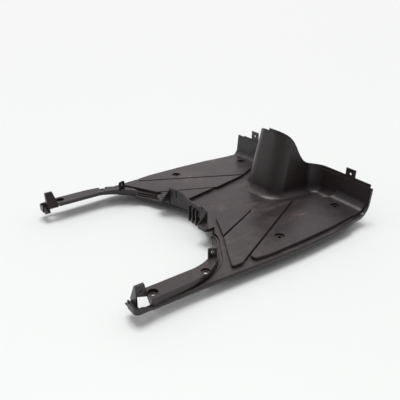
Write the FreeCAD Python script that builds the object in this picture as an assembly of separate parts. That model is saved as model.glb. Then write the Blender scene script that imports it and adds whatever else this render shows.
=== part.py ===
import FreeCAD, Part
import math
import os

from FreeCAD import Vector

# Scooter footboard, one injection moulding. X to the rider's right, Y forward, Z up, in millimetres.
# While it is drawn, heights are measured from the top of the tread pads and Y from the middle screws.

# shell
WALL = 2.4                 # general wall of the moulding
FAR = 320.0                # reach of the blocks that run past the part
LOW = -60.0                # underside of those blocks
HIGH = 140.0               # their top

# levels
PAD_Z = 0.0                # top of the tread pads
DECK_Z = -5.5              # deck around the pads
RIDGE_Z = -7.5             # ridge beside the groove round the rear cut-out
SKIRT_Z = -12.0            # lower edge of skirt and lip
FLOOR_Z = SKIRT_Z + WALL   # groove and seat for the body panel round the rear cut-out
ARM_Z = 5.5                # top of the rear arms
BRACKET_Z = 7.0            # top of the two brackets beside the rear wall
LIP_TOP = -6.8             # where the outer lip leaves the skirt
LIP_EDGE = -8.8            # top of the lip's upright face
LIP_OUT = 2.4              # lip beyond the skirt
FEET_Z = -27.0             # ends of the screw posts and of the centre fins

# half width of the deck along its length, (y, x)
SIDE = [(-310.0, 195.0), (-165.0, 198.2), (-40.0, 204.8), (40.0, 206.0), (105.0, 203.6),
        (145.0, 200.2), (176.0, 196.2), (205.0, 195.2), (FAR, 195.2)]
SIDE_END_X = 195.8         # the same at the ends of the arms
LIP_END_Y = 160.0          # the lip runs out into the skirt from here on
LIP_SINK = 2.5             # how far inside the skirt its line ends

# front wall and tunnel at the height of the pads
WALL_Y = 202.0             # front wall, straight part
WALL_BEND_X = 110.0        # from here the wall runs back to the sides
WALL_SWEEP = 0.03          # run back, mm per mm
WALL_LEAN = 0.09           # forward lean, mm per mm of height
TUNNEL_Y = 95.8            # rear face of the tunnel
TUNNEL_LEAN = 0.20
TUNNEL_HALF = 48.2         # half width of the tunnel at TUNNEL_HALF_Y
TUNNEL_HALF_Y = 110.0
TUNNEL_SPLAY = 0.10        # widening per mm forward
TUNNEL_TAPER = 0.084       # narrowing per mm of height
TUNNEL_CORNER_R = 30.0
VALLEY_R = 27.0            # upright corner between tunnel and wall
FOOT_R = 18.0              # fillet from the deck into tunnel and wall
TUNNEL_TOP = 131.0
CHEEK = 4.2                # return of the wall's outer edges
CHEEK_R = 30.0             # its sweep into the skirt

# upper rim of tunnel and wall, seen from the side (y, z)
RIM = [(108.0, 125.6), (121.0, 122.0), (132.0, 114.6), (144.0, 102.0), (155.0, 82.0), (176.0, 53.5),
       (198.0, 46.0), (225.0, 46.0)]
FLANGE_SINK = 2.0          # flange behind the rim, set back from the face
FLANGE_T = 2.2
FLANGE_UP = 6.0            # it stands this far past the rim
FLANGE_LOW = 1.6           # the same on the left
FLANGE_STEP_X = -5.0       # where its height changes
FLANGE_LAP = 8.0
FLANGE_LEFT = -177.0       # its ends
FLANGE_RIGHT = 189.0

# tread pads of the right side, (x, y, corner radius)
PAD_1 = [(46.6, -49.0, 0.0), (106.6, -78.0, 0.0), (60.5, 27.0, 0.0)]
PAD_2 = [(111.8, -81.3, 0.0), (190.4, -126.0, 4.0), (190.8, -105.6, 4.0), (77.3, 120.0, 0.0), (59.5, 34.5, 0.0)]
PAD_3 = [(79.6, 123.6, 0.0), (182.0, -81.1, 4.0), (194.0, -80.6, 6.0), (197.6, -50.0, 0.0), (197.8, 30.0, 0.0),
         (194.8, 104.0, 0.0), (188.6, 160.0, 0.0), (188.0, 240.0, 0.0), (133.0, 240.0, 0.0)]
PAD_EDGE = 0.8             # bevel of the top edge

# rear cut-out, right side from the middle to the arm (x, y)
CUT = [(0.0, -66.0), (32.0, -70.8), (62.0, -82.0), (92.0, -93.5), (122.0, -112.6), (151.0, -138.5),
       (165.2, -172.0), (166.4, -192.0)]
STEP = [(66.0, -92.0), (80.0, -82.0), (91.0, -81.4), (133.0, -103.6), (163.8, -123.0), (187.0, -161.0),
        (198.6, -205.0)]
GROOVE_W = 2.2             # narrow groove along the edge of the deck
RIDGE_W = 2.8              # ridge between this groove and the seat

# rear wall between the brackets, its top edge (x, z)
CREST = [(0.0, 15.0), (24.0, 18.4), (38.0, 25.4), (50.0, 27.6), (62.0, 28.0)]
WALL_RIB = (46.0, -75.4, 10.0, 25.0)  # upright rib on its rear face: x, y, lower and upper end
WALL_HOLE = 2.6            # two small holes on each side
WALL_HOLE_X = 33.0
WALL_HOLE_Z = (8.0, 16.5)
GUSSET_Y = -101.0          # rear foot of the gussets that hold the wall's ends
BRACKET = [(60.0, -76.0, 0.0), (84.0, -80.0, 0.0), (85.0, -90.0, 4.0), (82.0, -99.6, 4.0),
           (62.0, -102.0, 3.0)]
BRACKET_LIP = 6.0
BRACKET_REAR_Y = -84.0
BRACKET_HOLES = [(71.0, -94.0, 5.0), (79.0, -91.5, 3.2)]

# arms
ARM_EDGE = [(140.5, -117.5), (168.8, -138.7), (185.0, -163.5), (192.8, -200.0), (194.2, -262.0)]
ARM_END_Y = -272.0
ARM_LIP = 7.0              # depth of the arm's inner edge
ARM_LIP_Y = -100.0         # where that edge starts

# screws (x, y), right side
MID_SCREW = (165.0, 0.0)
FRONT_SCREW = (143.0, 170.5)
ARM_SCREW = (181.2, -262.2)
ROOT_SCREW = (182.6, -171.2)
SCREW_HOLE = 6.5
POST_R = 7.0
RECESS_R = 9.0
RECESS_DEPTH = 3.2
ARM_RECESS_R = 8.0
ARM_RECESS_DEPTH = 5.0
ROOT_RECESS_R = 7.6
ROOT_DEPTH = 3.0

# upright tabs
TAB_T = 2.6
TAB_HOLE = 5.5
SIDE_TAB = (156.6, -139.0)
SIDE_TAB_TURN = 69.5       # degrees from X to the tab's length
SIDE_TAB_W = 15.0
SIDE_TAB_TOP = 21.4
FRONT_TAB_X = 140.0
FRONT_TAB_W = 22.0
FRONT_TAB_TOP = 66.0
SIDE_TAB_EDGE = 7.0        # hole centre below the top of the tab
FRONT_TAB_EDGE = 10.0

# centre fins under the rear wall
FIN_PITCH = 11.5
FIN_T = 2.6
FIN_Y = -70.5
FIN_TOP = 4.0
FIN_DEPTH = 18.0
FIN_TIP = 1.5

# end of the arm
END_Y = -300.0             # rear face of the end strip
END_R = 8.0                # its corner
END_LOW = -9.6             # its lower edge
END_TOP = 0.6              # its upper edge
END_SLOPE_Y = -288.0       # from here the upper edge falls to the lip
HOOK_X = 175.0             # the end strip reaches in to here
HOOK_W = 3.0               # and turns up over this width
HOOK_Z = 4.4
LEDGE_X = 189.5            # inner edge of the ledge that carries the strip
BLOCK_X = 183.2            # outer face of the upright block
BLOCK_Y = -290.6           # its rear face
BLOCK_TOP = (4.0, 27.0)    # its width and height at the top
BLOCK_FOOT = (165.5, -1.5)  # lower edge of its leaning inner side (x, z)
BLOCK_FRONT_Y = -276.2     # front of its top
BLOCK_LOW = 10.0           # lower edge of its outer face
POCKET = (-286.0, 5.4, 15.6, 6.2, 1.2)  # recess in that face: y, length, z, height, depth
END_OPEN = (178.8, 190.0)  # the arm's end wall is open between here and here, lower down further out

# ribs below the deck
RIB_T = 1.6
RIB_X = [30.0, 96.0, 150.0]
RIB_Y = [-32.0, 44.0]
RIB_RISE = 1.0             # lower edge above the skirt's
RIB_REAR_Y = -60.0

# piece broken out of the right front corner
CHIP_Y = 188.5
CHIP_W = 7.0
CHIP_DEPTH = 2.6
CHIP_Z = -6.5              # its upper end


def mirror(shape):
    return shape.mirror(Vector(0, 0, 0), Vector(1, 0, 0))


def both(shape):
    return shape.fuse(mirror(shape))


def prism(wire, z0, z1):
    """Solid between two heights over a closed plan outline."""
    face = Part.Face(wire)
    face.translate(Vector(0, 0, z0))
    return face.extrude(Vector(0, 0, z1 - z0))


def box(x0, x1, y0, y1, z0, z1):
    return Part.makeBox(x1 - x0, y1 - y0, z1 - z0, Vector(x0, y0, z0))


def cylinder(x, y, r, z0, z1):
    return Part.makeCylinder(r, z1 - z0, Vector(x, y, z0))


def chain(points, closed=False):
    vectors = [Vector(*p) for p in points]
    return Part.makePolygon(vectors + vectors[:1] if closed else vectors)


def plate(points, thickness):
    """Flat plate from three-dimensional corners, thickened along the vector."""
    return Part.Face(chain(points, True)).extrude(thickness)


def spline(points):
    curve = Part.BSplineCurve()
    curve.interpolate([Vector(x, y, 0) for x, y in points])
    return curve


def shifted(points, distance):
    """The points moved square to the smooth line through them, to its left for a positive distance."""
    if not distance:
        return list(points)
    curve = spline(points)
    moved = []
    for x, y in points:
        t = curve.tangent(curve.parameter(Vector(x, y, 0)))[0]
        moved.append((x - t.y * distance, y + t.x * distance))
    return moved


def rounded(points, inset=0.0):
    """Closed outline with straight sides, each corner with its own radius."""
    wire = chain([(x, y, 0) for x, y, r in points], True)
    corners = [Vector(x, y, 0) for x, y, r in points]
    if inset:
        moved = [v.Point for v in wire.makeOffset2D(-inset, 2).Vertexes]
        corners = [min(moved, key=lambda m: m.distanceToPoint(c)) for c in corners]
    joints = []
    for i, corner in enumerate(corners):
        radius = points[i][2] - inset
        if radius < 0.1:
            joints.append((corner, None, corner))
            continue
        a = (corners[i - 1] - corner).normalize()
        b = (corners[(i + 1) % len(corners)] - corner).normalize()
        half = math.acos(a.dot(b)) / 2
        back = radius / math.tan(half)
        middle = (a + b).normalize() * (radius / math.sin(half) - radius)
        joints.append((corner + a * back, corner + middle, corner + b * back))
    edges = []
    for i, (start, middle, end) in enumerate(joints):
        if middle:
            edges.append(Part.Arc(start, middle, end).toShape())
        edges.append(Part.makeLine(end, joints[(i + 1) % len(joints)][0]))
    return Part.Wire(edges)


def mirrored_outline(points, z=0.0):
    """Closed outline from a smooth right-hand line, its mirror image and straight ends."""
    right = spline(points).toShape()
    (x0, y0), (x1, y1) = points[0], points[-1]
    rear = Part.makeLine(Vector(-x0, y0, 0), Vector(x0, y0, 0))
    front = Part.makeLine(Vector(x1, y1, 0), Vector(-x1, y1, 0))
    wire = Part.Wire([rear, right, front, mirror(right)])
    wire.translate(Vector(0, 0, z))
    return wire


def side_outline(inset, z=0.0):
    return mirrored_outline([(x - inset, y) for y, x in SIDE], z)


def lip_outline(z):
    """Plan of the lip, which runs out towards the front corners."""
    points = []
    for y, x in SIDE:
        out = LIP_OUT if y < LIP_END_Y else -LIP_SINK
        points.append((x + out, y))
    return mirrored_outline(points, z)


def behind(points, shift):
    """Block behind a line that runs round the rear cut-out, the line moved outwards by shift."""
    line = shifted(points, shift)
    if points[0][0] == 0.0:
        line[0] = (0.0, line[0][1])
    line.append((line[-1][0], -FAR))
    right = spline(line[:-1]).toShape()
    x, y = line[-2]
    rest = chain([(x, y, 0), (x, -FAR, 0), (-x, -FAR, 0), (-x, y, 0)])
    edges = [right] + rest.Edges + [mirror(right)]
    x, y = line[0]
    if x > 0:
        edges.append(Part.makeLine(Vector(-x, y, 0), Vector(x, y, 0)))
    return prism(Part.Wire(Part.__sortEdges__(edges)), LOW - 5.0, HIGH)


def hexahedron(lower, upper):
    """Solid with flat sides between two four-cornered sections."""
    sides = [(lower[i - 1], lower[i], upper[i], upper[i - 1]) for i in range(4)]
    faces = [Part.Face(chain(corners, True)) for corners in [lower, upper] + sides]
    return Part.Solid(Part.Shell(faces))


def tunnel_section(z, inset):
    """Plan corners of the tunnel at height z, open far in front."""
    y = TUNNEL_Y + inset * math.hypot(1, TUNNEL_LEAN) + TUNNEL_LEAN * z
    half = TUNNEL_HALF - inset * math.sqrt(1 + TUNNEL_SPLAY ** 2 + TUNNEL_TAPER ** 2)
    x = half + TUNNEL_SPLAY * (y - TUNNEL_HALF_Y) - TUNNEL_TAPER * z
    far_x = x + TUNNEL_SPLAY * (FAR - y)
    return [(-x, y, z), (x, y, z), (far_x, FAR, z), (-far_x, FAR, z)]


def wall(inset, z0, z1):
    """Front wall with its ends running back, a leaning block that reaches far in front."""
    x = WALL_BEND_X
    y = WALL_Y + inset * math.hypot(1, WALL_LEAN) + WALL_LEAN * z0
    end_y = y - WALL_SWEEP * (FAR - x)
    corners = [(-FAR, end_y, z0), (-x, y, z0), (x, y, z0), (FAR, end_y, z0), (FAR, FAR, z0), (-FAR, FAR, z0)]
    return plate(corners, Vector(0, WALL_LEAN * (z1 - z0), z1 - z0))


def long_edges(solid, z0, z1, y0, y1):
    """Edges that run from the bottom to the top of the tunnel, their lower ends between y0 and y1."""
    found = []
    for edge in solid.Edges:
        low, high = sorted((v.Point for v in edge.Vertexes), key=lambda p: p.z)
        if low.z < z0 + 0.01 and high.z > z1 - 0.01 and y0 < low.y < y1 and abs(low.x) < WALL_BEND_X - 1:
            found.append(edge)
    return found


def upright(inset, z0):
    """Tunnel and front wall, reaching far in front, every face set back by inset."""
    z1 = TUNNEL_TOP
    tunnel = hexahedron(tunnel_section(z0, inset), tunnel_section(z1, inset))
    mass = tunnel.fuse(wall(inset, z0, z1)).removeSplitter()
    middle = (TUNNEL_Y + WALL_Y) / 2
    mass = mass.makeFillet(TUNNEL_CORNER_R - inset, long_edges(mass, z0, z1, 0, middle))
    return mass.makeFillet(VALLEY_R + inset, long_edges(mass, z0, z1, middle, FAR - 1))


def front_mass(level, inset, radius, flat=False):
    """Everything below a deck at the level and in front of wall and tunnel, its foot rounded or flat."""
    slab = box(-FAR, FAR, -FAR, FAR, LOW, level)
    mass = slab.fuse(upright(inset, level - 8.0)).removeSplitter()
    foot = []
    for edge in mass.Edges:
        inside = abs(edge.CenterOfMass.x) < FAR - 5 and abs(edge.CenterOfMass.y) < FAR - 5
        if inside and all(abs(v.Z - level) < 0.001 for v in edge.Vertexes):
            foot.append(edge)
    if flat:
        return mass.makeChamfer(radius * (2 - math.sqrt(2)), foot)
    return mass.makeFillet(radius, foot)


def pad(points, inset):
    """A tread pad of both sides, its top edge bevelled on the outside."""
    block = prism(rounded(points, inset), DECK_Z - inset - 1.0, PAD_Z - inset)
    if not inset:
        top = [e for e in block.Edges if all(abs(v.Z - PAD_Z) < 0.001 for v in e.Vertexes)]
        block = block.makeChamfer(PAD_EDGE, top)
    return both(block)


def deck(inset):
    """Deck, pads, front wall and tunnel, open to the rear along the groove."""
    mass = front_mass(DECK_Z - inset, inset, FOOT_R + inset, inset > 0)
    raised = front_mass(PAD_Z - inset, inset, FOOT_R + inset, inset > 0)
    crown = raised.common(both(prism(rounded(PAD_3, inset + PAD_EDGE), LOW, HIGH)))
    mass = mass.fuse([crown.fuse(pad(PAD_3, inset)), pad(PAD_1, inset), pad(PAD_2, inset)])
    mass = mass.common(prism(side_outline(inset), LOW, HIGH))
    return mass.cut(behind(STEP, inset))


def lip():
    """The lip round the sides: an upright face with a slope up into the skirt."""
    inside = WALL / 4
    top = LIP_TOP + inside * (LIP_TOP - LIP_EDGE) / LIP_OUT
    slope = Part.makeLoft([lip_outline(LIP_EDGE), side_outline(inside, top)], True, True)
    block = slope.fuse(prism(lip_outline(0.0), LOW, LIP_EDGE))
    return block.cut(prism(side_outline(inside + 0.2), LOW - 5.0, HIGH))


def recess(screw, radius, top, depth, inset):
    x, y = screw
    return both(cylinder(x, y, radius + inset, top - depth - inset, HIGH))


def arms(inset):
    """The raised rear arms with their root, up to the brackets."""
    mass = behind(ARM_EDGE, -inset).common(box(-FAR, FAR, -FAR, FAR, LOW, ARM_Z - inset))
    mass = mass.cut(recess(ROOT_SCREW, ROOT_RECESS_R, ARM_Z, ROOT_DEPTH, inset))
    return mass.cut(recess(ARM_SCREW, ARM_RECESS_R, ARM_Z, ARM_RECESS_DEPTH, inset))


def ridge():
    """Ridge between the groove along the deck and the seat, solid because it is narrow."""
    block = prism(side_outline(0.0), LOW, RIDGE_Z).common(behind(STEP, -GROOVE_W))
    return block.cut(behind(STEP, -GROOVE_W - RIDGE_W))


def form(inset):
    """The moulding as a full body, every surface set back by inset."""
    cut = behind(CUT, inset)
    rear = box(-FAR, FAR, ARM_END_Y + inset, FAR, LOW - 5.0, HIGH)
    floor = prism(side_outline(inset), LOW, FLOOR_Z - inset)
    front = deck(inset)
    front = front.cut(recess(MID_SCREW, RECESS_R, PAD_Z, RECESS_DEPTH, inset))
    front = front.cut(recess(FRONT_SCREW, RECESS_R, PAD_Z, RECESS_DEPTH, inset))
    body = front.fuse([floor, arms(inset)])
    if not inset:
        body = body.fuse([lip(), ridge()])
    body = body.cut(cut).common(rear)
    bracket = both(prism(rounded(BRACKET, inset), LOW, BRACKET_Z - inset))
    return body.fuse(bracket)


def rim_block(shift):
    """Everything above and in front of the rim line, the line raised by shift."""
    points = shifted(RIM, shift)
    curve = Part.BSplineCurve()
    curve.interpolate([Vector(-FAR, y, z) for y, z in points])
    (y0, z0), (y1, z1) = points[0], points[-1]
    rest = chain([(-FAR, y1, z1), (-FAR, FAR + 5, z1), (-FAR, FAR + 5, HIGH + 60),
                  (-FAR, y0, HIGH + 60), (-FAR, y0, z0)])
    face = Part.Face(Part.Wire([curve.toShape()] + rest.Edges))
    return face.extrude(Vector(2 * FAR, 0, 0))


def flange():
    """Flange behind the rim, lower on the left, with its two tabs."""
    z0 = 20.0
    ring = upright(FLANGE_SINK, z0).cut(upright(FLANGE_SINK + FLANGE_T, z0))
    ring = ring.common(rim_block(-FLANGE_LAP)).cut(rim_block(FLANGE_UP))
    ring = ring.common(box(FLANGE_LEFT, FLANGE_RIGHT, 0, FAR - 5, z0, HIGH))
    left = box(-FAR, FLANGE_STEP_X, 0, FAR, z0, HIGH).common(rim_block(FLANGE_LOW))
    ring = ring.cut(left)
    rim_z = RIM[-1][1]
    y = WALL_Y + WALL_LEAN * rim_z - WALL_SWEEP * (FRONT_TAB_X - WALL_BEND_X) + FLANGE_SINK + 0.4
    half = FRONT_TAB_W / 2
    tab = box(FRONT_TAB_X - half, FRONT_TAB_X + half, y, y + TAB_T, rim_z - 6.0, FRONT_TAB_TOP)
    hole = Part.makeCylinder(TAB_HOLE / 2, 20, Vector(FRONT_TAB_X, y - 10, FRONT_TAB_TOP - FRONT_TAB_EDGE),
                             Vector(0, 1, 0))
    return ring.fuse(both(tab.cut(hole)))


def side_tab():
    x, y = SIDE_TAB
    half = SIDE_TAB_W / 2
    z0 = ARM_Z - WALL
    tab = box(-half, half, -TAB_T / 2, TAB_T / 2, z0, SIDE_TAB_TOP)
    corners = [e for e in tab.Edges if abs(e.BoundBox.ZMin - SIDE_TAB_TOP) < 0.01 and e.Length < TAB_T + 0.1]
    tab = tab.makeFillet(3.0, corners)
    hole = Part.makeCylinder(TAB_HOLE / 2, 20, Vector(0, -10, SIDE_TAB_TOP - SIDE_TAB_EDGE), Vector(0, 1, 0))
    tab = tab.cut(hole)
    tab.rotate(Vector(0, 0, 0), Vector(0, 0, 1), SIDE_TAB_TURN)
    tab.translate(Vector(x, y, 0))
    return both(tab)


def rear_wall():
    """Upstanding wall at the middle of the cut-out and the gussets at its ends."""
    strip = behind(CUT, WALL).cut(behind(CUT, 0.0))
    right = spline(CREST).toShape()
    x, z = CREST[-1]
    curve = Part.Wire([mirror(right), right])
    rest = chain([(x, z, 0), (x, DECK_Z - WALL, 0), (-x, DECK_Z - WALL, 0), (-x, z, 0)])
    face = Part.Face(Part.Wire(Part.__sortEdges__(curve.Edges + rest.Edges)))
    face.rotate(Vector(0, 0, 0), Vector(1, 0, 0), 90)
    wall = strip.common(face.extrude(Vector(0, -150, 0)))
    y = [py for px, py in CUT if px == x][0]
    gusset = plate([(x - WALL, y + WALL, z), (x - WALL, GUSSET_Y, BRACKET_Z - 1.0),
                    (x - WALL, y + WALL, BRACKET_Z - 1.0)], Vector(WALL, 0, 0))
    rib_x, rib_y, low, high = WALL_RIB
    rib = box(rib_x, rib_x + 1.6, rib_y - 1.6, rib_y + 1.0, low, high)
    wall = wall.fuse(both(gusset.fuse(rib)))
    pins = [Part.makeCylinder(WALL_HOLE / 2, 20, Vector(WALL_HOLE_X, y - 5, z), Vector(0, 1, 0))
            for z in WALL_HOLE_Z]
    return wall.cut([both(pin) for pin in pins])


def fins():
    """Three fins that hang below the middle of the rear wall."""
    result = []
    for x in (-FIN_PITCH, 0.0, FIN_PITCH):
        x0 = x - FIN_T / 2
        corners = [(x0, FIN_Y, FIN_TOP), (x0, FIN_Y, FEET_Z), (x0, FIN_Y + FIN_TIP, FEET_Z),
                   (x0, FIN_Y + FIN_DEPTH, DECK_Z - WALL), (x0, FIN_Y + FIN_DEPTH, DECK_Z - 1.0),
                   (x0, CUT[0][1] + 1.0, FIN_TOP)]
        result.append(plate(corners, Vector(FIN_T, 0, 0)))
    return result


def arm_end():
    """Strip, hook and upright block at the rear end of the right arm."""
    x = SIDE_END_X + LIP_OUT
    y1 = ARM_END_Y + 4.0
    end = [(100.0, -200.0, 0.0), (x, -200.0, 0.0), (x, END_Y, END_R), (100.0, END_Y, 0.0)]
    ring = prism(rounded(end), END_LOW, HOOK_Z).cut(prism(rounded(end, WALL), LOW, HIGH))
    strip = ring.common(box(HOOK_X, x, END_Y, y1, END_LOW, HOOK_Z))
    over = plate([(HOOK_X + HOOK_W, END_Y - 1, HOOK_Z + 1), (HOOK_X + HOOK_W, END_Y - 1, END_TOP),
                  (x + 1, END_Y - 1, END_TOP), (x + 1, END_Y - 1, HOOK_Z + 1)], Vector(0, 60, 0))
    fall = plate([(LEDGE_X, END_SLOPE_Y, END_TOP), (LEDGE_X, y1 + 1, LIP_EDGE + 1), (LEDGE_X, y1 + 1, HOOK_Z)],
                 Vector(20, 0, 0))
    strip = strip.cut([over, fall])
    ledge_z = END_LOW + WALL
    floor = box(HOOK_X - 10.0, x - WALL / 2, END_Y + WALL / 2, BLOCK_Y + WALL, END_LOW, ledge_z)
    floor = floor.common(prism(rounded(end, WALL / 2), LOW, HIGH))
    ledge = box(LEDGE_X, x - WALL / 2, BLOCK_Y, y1, END_LOW, ledge_z)
    return strip.fuse([floor, ledge, block()])


def block():
    """Upright block at the end of the right arm, open below and on the lower part of its outer side."""
    width, top = BLOCK_TOP
    foot_x, foot_z = BLOCK_FOOT
    top_x = BLOCK_X - width
    front_y = ARM_END_Y + 1.0
    low_x = foot_x + (top_x - foot_x) * (ARM_Z - foot_z) / (top - foot_z)
    rear = plate([(BLOCK_X, BLOCK_Y, top), (top_x, BLOCK_Y, top), (foot_x, BLOCK_Y, foot_z),
                  (HOOK_X - 8.0, BLOCK_Y, END_LOW), (BLOCK_X, BLOCK_Y, END_LOW)], Vector(0, WALL, 0))
    inner = plate([(top_x, BLOCK_Y, top), (top_x, BLOCK_FRONT_Y, top), (low_x, front_y, ARM_Z),
                   (foot_x, front_y, foot_z), (foot_x, BLOCK_Y, foot_z)], Vector(WALL, 0, 0))
    outer = plate([(BLOCK_X, BLOCK_Y, top), (BLOCK_X, BLOCK_FRONT_Y, top), (BLOCK_X, front_y, ARM_Z),
                   (BLOCK_X, front_y, ARM_Z - WALL), (BLOCK_X, BLOCK_Y, BLOCK_LOW)], Vector(-WALL, 0, 0))
    y, length, z, height, depth = POCKET
    pocket = box(BLOCK_X - depth, BLOCK_X + 1, y, y + length, z, z + height)
    cap = box(top_x, BLOCK_X, BLOCK_Y, BLOCK_FRONT_Y, top - WALL, top)
    return rear.fuse([inner, outer.cut(pocket), cap])


def posts():
    """Screw posts below the deck recesses."""
    top = PAD_Z - RECESS_DEPTH - WALL / 2
    return [both(cylinder(x, y, POST_R, FEET_Z, top)) for x, y in (MID_SCREW, FRONT_SCREW)]


def ribs():
    """Stiffening ribs below the deck, down to just above the lower edge of the skirt."""
    z = SKIRT_Z + RIB_RISE
    half = RIB_T / 2
    grid = [both(box(x - half, x + half, RIB_REAR_Y, WALL_Y, z, HIGH)) for x in RIB_X]
    grid += [box(-FAR, FAR, y - half, y + half, z, HIGH) for y in RIB_Y]
    return grid


def holes():
    result = []
    for x, y in (MID_SCREW, FRONT_SCREW, ARM_SCREW, ROOT_SCREW):
        result.append(both(cylinder(x, y, SCREW_HOLE / 2, LOW, HIGH)))
    for x, y, d in BRACKET_HOLES:
        result.append(both(cylinder(x, y, d / 2, LOW, HIGH)))
    return result


def open_edges():
    """Blocks below the edges that have no deep skirt: arms, brackets, rear wall and the arms' ends."""
    arms_under = box(-FAR, FAR, -FAR, ARM_LIP_Y, LOW, ARM_Z - ARM_LIP).common(behind(CUT, WALL + 0.5))
    x, y = CREST[-1][0], CUT[0][1]
    wide = max(px for px, py, r in BRACKET) + 1.0
    brackets = box(-wide, wide, BRACKET[-1][1] - 1.0, BRACKET_REAR_Y, LOW, BRACKET_Z - BRACKET_LIP)
    middle = box(-x, x, GUSSET_Y, y + WALL + 1.0, LOW, DECK_Z - WALL)
    y, z = ARM_END_Y - 1.0, ARM_Z - WALL
    x0, x1 = END_OPEN
    ends = plate([(BLOCK_FOOT[0], y, z), (x0, y, z), (x1, y, FLOOR_Z), (x1, y, LOW), (BLOCK_FOOT[0], y, LOW)],
                 Vector(0, WALL + 1.6, 0))
    return [arms_under, brackets, middle, both(ends)]


def chip():
    """Piece broken out where the right cheek meets the skirt."""
    x = SIDE[-1][1] - CHIP_DEPTH
    tip = (x, CHIP_Y, CHIP_Z)
    return plate([tip, (FAR, CHIP_Y - CHIP_W / 2, CHIP_Z + 1.5), (FAR, CHIP_Y + CHIP_W / 2, CHIP_Z + 1.5)],
                 Vector(0, 0, LOW))


def footboard():
    room = form(WALL).cut(ribs())
    board = form(0.0).cut(room)
    board = board.cut([front_mass(SKIRT_Z - 1.0, CHEEK, CHEEK_R), rim_block(0.0)] + open_edges())
    board = board.common(box(-FAR, FAR, -FAR, FAR, SKIRT_Z, HIGH))
    board = board.fuse([flange(), side_tab(), rear_wall(), both(arm_end())] + fins() + posts())
    board = board.cut(holes() + [chip()])
    bounds = board.optimalBoundingBox(False)
    board.translate(Vector(0, -(bounds.YMin + bounds.YMax) / 2, -FEET_Z))
    return board


os.makedirs("parts", exist_ok=True)
part = footboard()
part.exportStep("parts/footboard.step")
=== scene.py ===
import math
import bpy
import bmesh
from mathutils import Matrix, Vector


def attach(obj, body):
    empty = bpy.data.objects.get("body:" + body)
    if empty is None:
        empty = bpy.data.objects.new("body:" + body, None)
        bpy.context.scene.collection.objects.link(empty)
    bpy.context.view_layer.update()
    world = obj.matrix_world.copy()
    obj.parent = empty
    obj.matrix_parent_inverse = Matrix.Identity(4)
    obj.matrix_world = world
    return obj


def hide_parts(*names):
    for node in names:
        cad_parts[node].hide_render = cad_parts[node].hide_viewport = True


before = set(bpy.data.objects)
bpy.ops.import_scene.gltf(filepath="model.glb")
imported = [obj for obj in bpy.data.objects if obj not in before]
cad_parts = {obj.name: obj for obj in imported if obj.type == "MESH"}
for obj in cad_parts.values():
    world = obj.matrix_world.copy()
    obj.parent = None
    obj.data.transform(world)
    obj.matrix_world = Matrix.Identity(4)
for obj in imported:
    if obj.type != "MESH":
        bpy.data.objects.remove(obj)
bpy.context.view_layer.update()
scene = bpy.context.scene

# Footboard: one injection moulding in black polypropylene, with raised tread pads, a tunnel over the frame,
# a front wall and two rear arms. The mould leaves a fine satin grain and slightly rounded edges, and years
# of shoes have left pale scuffs on the pads and dust in the corners.
MERGE_DISTANCE = 2e-6
FLAT_ANGLE = math.radians(0.4)   # faces that turn by less become one
SHARP_ANGLE = math.radians(24)   # edges that turn by more are rounded
EDGE_RADIUS = 0.0009             # at the rim of tunnel and front wall
EDGE_STEPS = 2
LOW_EDGE_SHARE = 0.5             # share of this radius at all other edges
RIM_HEIGHT = 0.062               # edges that lie wholly above it belong to the rim

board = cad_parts["footboard"].copy()
board.data = board.data.copy()
board.name = "footboard_moulding"
scene.collection.objects.link(board)
board.parent = None

# The copy is merged, its flat stretches become single faces, and only its real corners stay sharp.
mesh = bmesh.new()
mesh.from_mesh(board.data)
bmesh.ops.remove_doubles(mesh, verts=mesh.verts, dist=MERGE_DISTANCE)
bmesh.ops.dissolve_limit(mesh, angle_limit=FLAT_ANGLE, verts=mesh.verts, edges=mesh.edges)
width = mesh.edges.layers.float.new("bevel_weight_edge")
for face in mesh.faces:
    face.smooth = True
for edge in mesh.edges:
    edge.smooth = len(edge.link_faces) == 2 and edge.calc_face_angle(0) < SHARP_ANGLE
    high = min(vertex.co.z for vertex in edge.verts) > RIM_HEIGHT
    edge[width] = 0.0 if edge.smooth else 1.0 if high else LOW_EDGE_SHARE
mesh.to_mesh(board.data)
mesh.free()

rounding = board.modifiers.new("rounded_edges", "BEVEL")
rounding.limit_method = "WEIGHT"
rounding.width = EDGE_RADIUS
rounding.segments = EDGE_STEPS
rounding.use_clamp_overlap = True
rounding.harden_normals = True


def node(tree, kind, **values):
    """A new shader node with some of its own settings."""
    item = tree.nodes.new(kind)
    for name, value in values.items():
        setattr(item, name, value)
    return item


def fed(tree, socket, value):
    """Links a socket to an output or sets its value."""
    if isinstance(value, bpy.types.NodeSocket):
        tree.links.new(value, socket)
    else:
        socket.default_value = value


def calc(tree, operation, a, b, clamp=False):
    """One sum on two values."""
    item = node(tree, "ShaderNodeMath", operation=operation, use_clamp=clamp)
    fed(tree, item.inputs[0], a)
    fed(tree, item.inputs[1], b)
    return item.outputs[0]


def stretch(tree, place, scale, degrees):
    """Coordinates turned about the upright axis and stretched."""
    item = node(tree, "ShaderNodeMapping")
    fed(tree, item.inputs["Vector"], place)
    item.inputs["Rotation"].default_value = (0, 0, math.radians(degrees))
    item.inputs["Scale"].default_value = scale
    return item.outputs["Vector"]


def noise(tree, place, scale, detail, roughness):
    """Plain noise from 0 to 1."""
    item = node(tree, "ShaderNodeTexNoise")
    fed(tree, item.inputs["Vector"], place)
    fed(tree, item.inputs["Scale"], scale)
    item.inputs["Detail"].default_value = detail
    item.inputs["Roughness"].default_value = roughness
    return item.outputs["Fac"]


def band(tree, value, low, high, to_low=0.0, to_high=1.0):
    """Maps a range of a value softly to another one, clamped."""
    item = node(tree, "ShaderNodeMapRange", interpolation_type="SMOOTHSTEP")
    fed(tree, item.inputs["Value"], value)
    item.inputs["From Min"].default_value = low
    item.inputs["From Max"].default_value = high
    item.inputs["To Min"].default_value = to_low
    item.inputs["To Max"].default_value = to_high
    return item.outputs["Result"]


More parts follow.
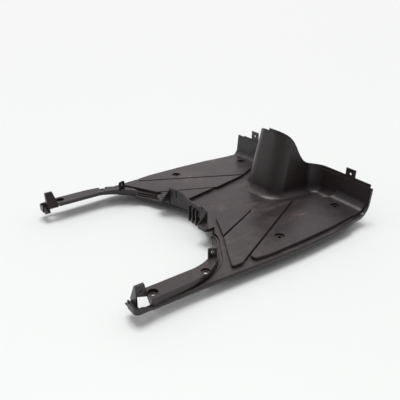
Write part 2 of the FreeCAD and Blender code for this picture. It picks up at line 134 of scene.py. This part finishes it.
def patchy(tree, place, scale, detail, roughness, low, high, to_low=0.0, to_high=1.0):
    """A mask of soft patches: noise whose middle range is spread out."""
    return band(tree, noise(tree, place, scale, detail, roughness), low, high, to_low, to_high)


def blend(tree, amount, a, b):
    """Mixes two colours."""
    item = node(tree, "ShaderNodeMix", data_type="RGBA")
    fed(tree, item.inputs[0], amount)
    fed(tree, item.inputs[6], a)
    fed(tree, item.inputs[7], b)
    return item.outputs[2]


def cornered(tree, reach, low, high, inside=False):
    """A mask of the corners that close in on the surface or, measured inside, of its outer edges."""
    item = node(tree, "ShaderNodeAmbientOcclusion", samples=8, inside=inside)
    item.inputs["Distance"].default_value = reach
    return band(tree, item.outputs["AO"], low, high, 1.0, 0.0)


def relief(tree, height, strength, depth, under=None, invert=False):
    """Raises or cuts a pattern of heights into the surface, over another relief."""
    item = node(tree, "ShaderNodeBump", invert=invert)
    item.inputs["Strength"].default_value = strength
    item.inputs["Distance"].default_value = depth
    tree.links.new(height, item.inputs["Height"])
    if under is not None:
        tree.links.new(under, item.inputs["Normal"])
    return item.outputs["Normal"]


def group(name, inputs, outputs):
    """An empty shader group with its named sockets."""
    tree = bpy.data.node_groups.new(name, "ShaderNodeTree")
    for label, kind, value in inputs:
        socket = tree.interface.new_socket(label, in_out="INPUT", socket_type=kind)
        if value is not None:
            socket.default_value = value
    for label, kind in outputs:
        tree.interface.new_socket(label, in_out="OUTPUT", socket_type=kind)
    return tree, node(tree, "NodeGroupInput"), node(tree, "NodeGroupOutput")


# Scuffs from shoes: long fine scratches in two directions and a light rub, in patches.
# Each direction has its stretch, its turn in degrees and the range of noise that shows.
SCRATCHES = [((520, 14, 60), 34, 0.58, 0.70), ((430, 11, 60), -22, 0.59, 0.72)]
SCRATCH_SHARE = 0.75
RUB_SHARE = 0.45

scuff_tree, given, result = group(
    "shoe_scuffs",
    [("Place", "NodeSocketVector", None), ("Amount", "NodeSocketFloat", 1.0),
     ("Patch Size", "NodeSocketFloat", 9.0)],
    [("Mask", "NodeSocketFloat")])
place = given.outputs["Place"]
scratches = 0.0
for scale, turn, low, high in SCRATCHES:
    lines = patchy(scuff_tree, stretch(scuff_tree, place, scale, turn),
                   scale=1.0, detail=3.0, roughness=0.6, low=low, high=high)
    scratches = calc(scuff_tree, "MAXIMUM", lines, scratches)
rub = patchy(scuff_tree, place, scale=60.0, detail=5.0, roughness=0.7, low=0.42, high=0.75)
patches = patchy(scuff_tree, place, scale=given.outputs["Patch Size"],
                 detail=4.0, roughness=0.62, low=0.46, high=0.62)
marks = calc(scuff_tree, "ADD", calc(scuff_tree, "MULTIPLY", scratches, SCRATCH_SHARE),
             calc(scuff_tree, "MULTIPLY", rub, RUB_SHARE))
marks = calc(scuff_tree, "MULTIPLY", marks, patches)
marks = calc(scuff_tree, "MULTIPLY", marks, given.outputs["Amount"], clamp=True)
scuff_tree.links.new(marks, result.inputs["Mask"])

PLASTIC_IOR = 1.49

plastic = bpy.data.materials.new("black_polypropylene")
plastic.use_nodes = True
tree = plastic.node_tree
shader = tree.nodes["Principled BSDF"]
shader.inputs["IOR"].default_value = PLASTIC_IOR

here = node(tree, "ShaderNodeTexCoord").outputs["Object"]
facing = node(tree, "ShaderNodeSeparateXYZ")
tree.links.new(node(tree, "ShaderNodeNewGeometry").outputs["Normal"], facing.inputs[0])
upward = band(tree, facing.outputs["Z"], low=0.55, high=0.95)

# Colour: a brownish black, a little lighter in wide areas and in small mottles.
DARK_BLACK = (0.0175, 0.0138, 0.0152, 1)
LIGHT_BLACK = (0.0290, 0.0222, 0.0232, 1)
MOTTLE_COLOUR = (0.0380, 0.0285, 0.0290, 1)
MOTTLE_AMOUNT = 0.5

areas = patchy(tree, here, scale=7.0, detail=4.0, roughness=0.55, low=0.3, high=0.72)
base = blend(tree, areas, DARK_BLACK, LIGHT_BLACK)
mottles = patchy(tree, here, scale=42.0, detail=4.0, roughness=0.6, low=0.35, high=0.7, to_high=MOTTLE_AMOUNT)
base = blend(tree, mottles, base, MOTTLE_COLOUR)

# The scuffs are paler than the plastic and lie on what faces up.
SCUFF_COLOUR = (0.135, 0.118, 0.106, 1)
SCUFF_AMOUNT = 0.6

scuffs = node(tree, "ShaderNodeGroup", node_tree=scuff_tree)
tree.links.new(here, scuffs.inputs["Place"])
tree.links.new(upward, scuffs.inputs["Amount"])
scuff = scuffs.outputs["Mask"]
base = blend(tree, calc(tree, "MULTIPLY", scuff, SCUFF_AMOUNT), base, SCUFF_COLOUR)

# Pale smudges where heels rub most: x, y and radius of each, in metres. Each is full in its core and fades
# out to its radius, broken up by slanting smears.
SMUDGES = [(0.137, 0.036, 0.020), (0.151, 0.012, 0.014), (-0.188, 0.165, 0.034), (0.070, 0.062, 0.030),
           (-0.128, 0.060, 0.045), (0.012, 0.030, 0.030), (0.128, 0.130, 0.026)]
SMUDGE_CORE = 0.1                # share of the radius
SMUDGE_COLOUR = (0.150, 0.112, 0.092, 1)
SMUDGE_AMOUNT = 0.75
SMEAR_STRETCH = (1.0, 0.45, 1.0)
SMEAR_TURN = 28                  # degrees

plan = node(tree, "ShaderNodeVectorMath", operation="MULTIPLY")
tree.links.new(here, plan.inputs[0])
plan.inputs[1].default_value = (1, 1, 0)
smudge = 0.0
for x, y, radius in SMUDGES:
    away = node(tree, "ShaderNodeVectorMath", operation="DISTANCE")
    tree.links.new(plan.outputs[0], away.inputs[0])
    away.inputs[1].default_value = (x, y, 0)
    spot = band(tree, away.outputs["Value"], SMUDGE_CORE * radius, radius, 1.0, 0.0)
    smudge = calc(tree, "MAXIMUM", spot, smudge)
smear = patchy(tree, stretch(tree, here, SMEAR_STRETCH, SMEAR_TURN),
               scale=110.0, detail=6.0, roughness=0.72, low=0.44, high=0.70)
smudge = calc(tree, "MULTIPLY", calc(tree, "MULTIPLY", smudge, smear), upward)
base = blend(tree, calc(tree, "MULTIPLY", smudge, SMUDGE_AMOUNT), base, SMUDGE_COLOUR)

# Dust lies in the inner corners. The outer edges are paler, partly from wear and partly as a painted
# highlight.
DUST_REACH = 0.012
DUST_COLOUR = (0.085, 0.074, 0.064, 1)
DUST_AMOUNT = 0.35
WEAR_AND_HIGHLIGHT_REACH = 0.0016
WEAR_AND_HIGHLIGHT_COLOUR = (0.120, 0.106, 0.102, 1)
WEAR_AND_HIGHLIGHT_AMOUNT = 0.7

grit = patchy(tree, here, scale=120.0, detail=5.0, roughness=0.7, low=0.35, high=0.65)
dust = calc(tree, "MULTIPLY", cornered(tree, DUST_REACH, low=0.25, high=0.85), upward)
dust = calc(tree, "MULTIPLY", dust, grit)
base = blend(tree, calc(tree, "MULTIPLY", dust, DUST_AMOUNT), base, DUST_COLOUR)
# Paler outer edges, in patches: real wear together with a painted highlight along the edges.
wear_and_highlight_patches = patchy(tree, here, scale=55.0, detail=4.0, roughness=0.7, low=0.40, high=0.62)
wear_and_highlight = calc(tree, "MULTIPLY", cornered(tree, WEAR_AND_HIGHLIGHT_REACH, low=0.35, high=0.72, inside=True), wear_and_highlight_patches)
base = blend(tree, calc(tree, "MULTIPLY", wear_and_highlight, WEAR_AND_HIGHLIGHT_AMOUNT), base, WEAR_AND_HIGHLIGHT_COLOUR)
tree.links.new(base, shader.inputs["Base Color"])

# Gloss: satin, uneven over the mould, and rougher under scuffs and dust.
SATIN_LOW = 0.27
SATIN_HIGH = 0.40
SCUFF_ROUGHNESS = 0.16
DUST_ROUGHNESS = 0.22

gloss = patchy(tree, here, scale=16.0, detail=5.0, roughness=0.6, low=0.3, high=0.72,
               to_low=SATIN_LOW, to_high=SATIN_HIGH)
gloss = calc(tree, "ADD", gloss, calc(tree, "MULTIPLY", scuff, SCUFF_ROUGHNESS))
gloss = calc(tree, "ADD", gloss, calc(tree, "MULTIPLY", dust, DUST_ROUGHNESS), clamp=True)
tree.links.new(gloss, shader.inputs["Roughness"])

# Grain: fine pebbles over the whole mould, a slow waviness from shrinkage, and the scratches' depth.
PEBBLE_SCALE = 1300.0
PEBBLE_SMOOTHNESS = 0.8
PEBBLE_HEIGHT = 0.00012
WAVE_HEIGHT = 0.0009
SCRATCH_DEPTH = 0.00008

pebbles = node(tree, "ShaderNodeTexVoronoi", feature="SMOOTH_F1")
tree.links.new(here, pebbles.inputs["Vector"])
pebbles.inputs["Scale"].default_value = PEBBLE_SCALE
pebbles.inputs["Smoothness"].default_value = PEBBLE_SMOOTHNESS
waves = noise(tree, here, scale=20.0, detail=2.0, roughness=0.45)
normal = relief(tree, pebbles.outputs["Distance"], strength=0.35, depth=PEBBLE_HEIGHT)
normal = relief(tree, waves, strength=0.5, depth=WAVE_HEIGHT, under=normal)
normal = relief(tree, scuff, strength=0.4, depth=SCRATCH_DEPTH, under=normal, invert=True)
tree.links.new(normal, shader.inputs["Normal"])

board.data.materials.clear()
board.data.materials.append(plastic)

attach(board, "root")
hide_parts("footboard")

# Floor: one pale painted sheet that the footboard lies on. It is wide enough to run out to the horizon,
# and it keeps the footboard's shadow.
FLOOR_REACH = 14.0
FLOOR_COLOUR = (0.815, 0.86, 0.845, 1)
FLOOR_ROUGHNESS = 0.55

floor_mesh = bpy.data.meshes.new("floor")
floor_mesh.from_pydata([(-FLOOR_REACH, -FLOOR_REACH, 0), (FLOOR_REACH, -FLOOR_REACH, 0),
                        (FLOOR_REACH, FLOOR_REACH, 0), (-FLOOR_REACH, FLOOR_REACH, 0)], [], [(0, 1, 2, 3)])
floor = bpy.data.objects.new("floor", floor_mesh)
scene.collection.objects.link(floor)
paint = bpy.data.materials.new("pale_floor")
paint.use_nodes = True
floor_shader = paint.node_tree.nodes["Principled BSDF"]
floor_shader.inputs["Base Color"].default_value = FLOOR_COLOUR
floor_shader.inputs["Roughness"].default_value = FLOOR_ROUGHNESS
floor_mesh.materials.append(paint)

# Light: one broad soft lamp overhead that leans in from the far side, and a pale room that is brighter
# behind the footboard than in front of it. Flat tops shine, and the faces towards the viewer stay dark.
# The camera sees the room as one even pale tone.
LAMP_SPREAD = 0.55               # radians
LAMP_POWER = 1.75
LAMP_COLOUR = (1.0, 0.98, 0.98)
LAMP_DIRECTION = (0.30, -0.12, -1.0)
ROOM_COLOUR = (1.0, 0.955, 0.965, 1)
BRIGHT_SIDE = (-0.76, 0.54, 0.36)
ROOM_SPAN = 0.8                  # cosine to the bright side, minus to plus, over which the light grows
ROOM_DIM = 0.22
ROOM_BRIGHT = 0.80
ROOM_SEEN = 0.86                 # strength of the room as the camera sees it

lamp = bpy.data.lights.new("overhead", "SUN")
lamp.angle = LAMP_SPREAD
lamp.energy = LAMP_POWER
lamp.color = LAMP_COLOUR
overhead = bpy.data.objects.new("overhead", lamp)
overhead.rotation_euler = Vector(LAMP_DIRECTION).to_track_quat("-Z", "Y").to_euler()
scene.collection.objects.link(overhead)

room = bpy.data.worlds.new("room")
room.use_nodes = True
glow = room.node_tree
backdrop = glow.nodes["Background"]
backdrop.inputs["Color"].default_value = ROOM_COLOUR
towards = node(glow, "ShaderNodeVectorMath", operation="DOT_PRODUCT")
glow.links.new(node(glow, "ShaderNodeTexCoord").outputs["Generated"], towards.inputs[0])
towards.inputs[1].default_value = BRIGHT_SIDE
strength = node(glow, "ShaderNodeMix")
glow.links.new(node(glow, "ShaderNodeLightPath").outputs["Is Camera Ray"], strength.inputs["Factor"])
light = band(glow, towards.outputs["Value"], -ROOM_SPAN, ROOM_SPAN, ROOM_DIM, ROOM_BRIGHT)
glow.links.new(light, strength.inputs["A"])
strength.inputs["B"].default_value = ROOM_SEEN
glow.links.new(strength.outputs["Result"], backdrop.inputs["Strength"])
scene.world = room

# Camera: it stands to the right of the footboard and behind it, higher up, and looks forward and down
# across the deck to the tunnel.
CAMERA_PLACE = (0.6605, -0.4766, 0.4445)
CAMERA_AZIMUTH = math.radians(-54.60)
CAMERA_ELEVATION = math.radians(26.28)
CAMERA_LENS = 42.49
CAMERA_SENSOR = 36

camera = bpy.data.objects.new("camera", bpy.data.cameras.new("camera"))
camera.data.lens = CAMERA_LENS
camera.data.sensor_width = CAMERA_SENSOR
camera.location = CAMERA_PLACE
level = math.cos(CAMERA_ELEVATION)
ahead = Vector((math.sin(CAMERA_AZIMUTH) * level, math.cos(CAMERA_AZIMUTH) * level,
                -math.sin(CAMERA_ELEVATION)))
camera.rotation_euler = ahead.to_track_quat("-Z", "Y").to_euler()
scene.collection.objects.link(camera)
scene.camera = camera

scene.view_settings.view_transform = "Standard"
